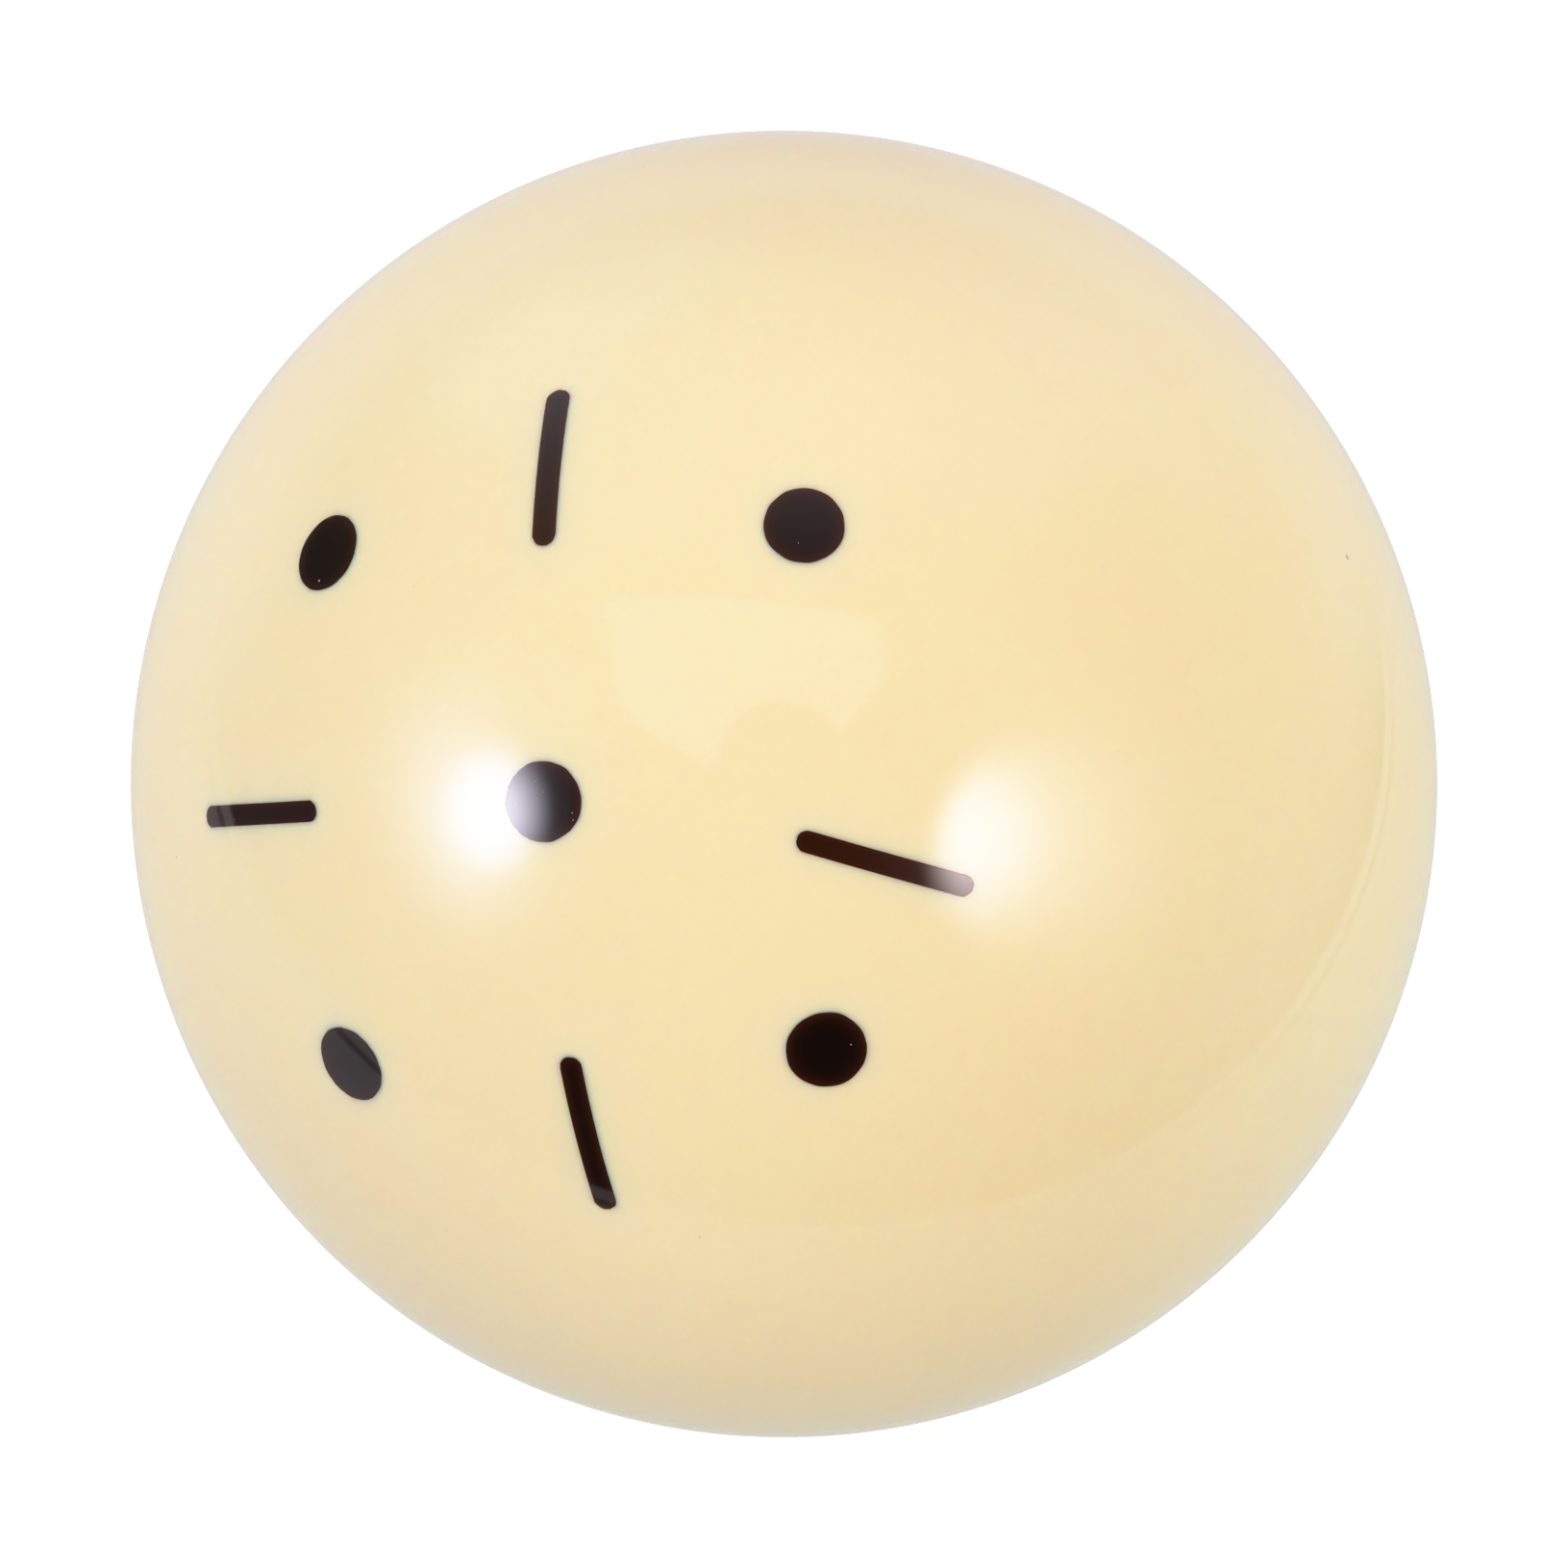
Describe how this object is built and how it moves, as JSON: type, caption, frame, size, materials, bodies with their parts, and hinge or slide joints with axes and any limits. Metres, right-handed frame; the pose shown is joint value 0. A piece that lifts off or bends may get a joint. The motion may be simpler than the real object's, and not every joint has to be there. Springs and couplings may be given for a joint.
{
  "type": "cue ball",
  "caption": "Solid resin cue ball for aiming practice, with flush dark dots and bars set into two opposite sides.",
  "frame": {"origin": "centre of the ball", "axes": "-Y out through the middle dot of the front face, +Y out through that of the back face, +Z towards both faces' top bars, +X to the right of the front face"},
  "size_m": [0.0572, 0.0572, 0.0572],
  "materials": {
    "ball_resin": "polished cast resin, cream",
    "mark_resin": "polished cast resin, brown-black"
  },
  "bodies": {
    "root": {"ball_body": "ball_resin", "front_centre_dot": "mark_resin", "front_top_bar": "mark_resin", "front_upper_right_dot": "mark_resin", "front_right_bar": "mark_resin", "front_lower_right_dot": "mark_resin", "front_bottom_bar": "mark_resin", "front_lower_left_dot": "mark_resin", "front_left_bar": "mark_resin", "front_upper_left_dot": "mark_resin", "back_centre_dot": "mark_resin", "back_top_bar": "mark_resin", "back_upper_right_dot": "mark_resin", "back_right_bar": "mark_resin", "back_lower_right_dot": "mark_resin", "back_bottom_bar": "mark_resin", "back_lower_left_dot": "mark_resin", "back_left_bar": "mark_resin", "back_upper_left_dot": "mark_resin"}
  },
  "joints": []
}
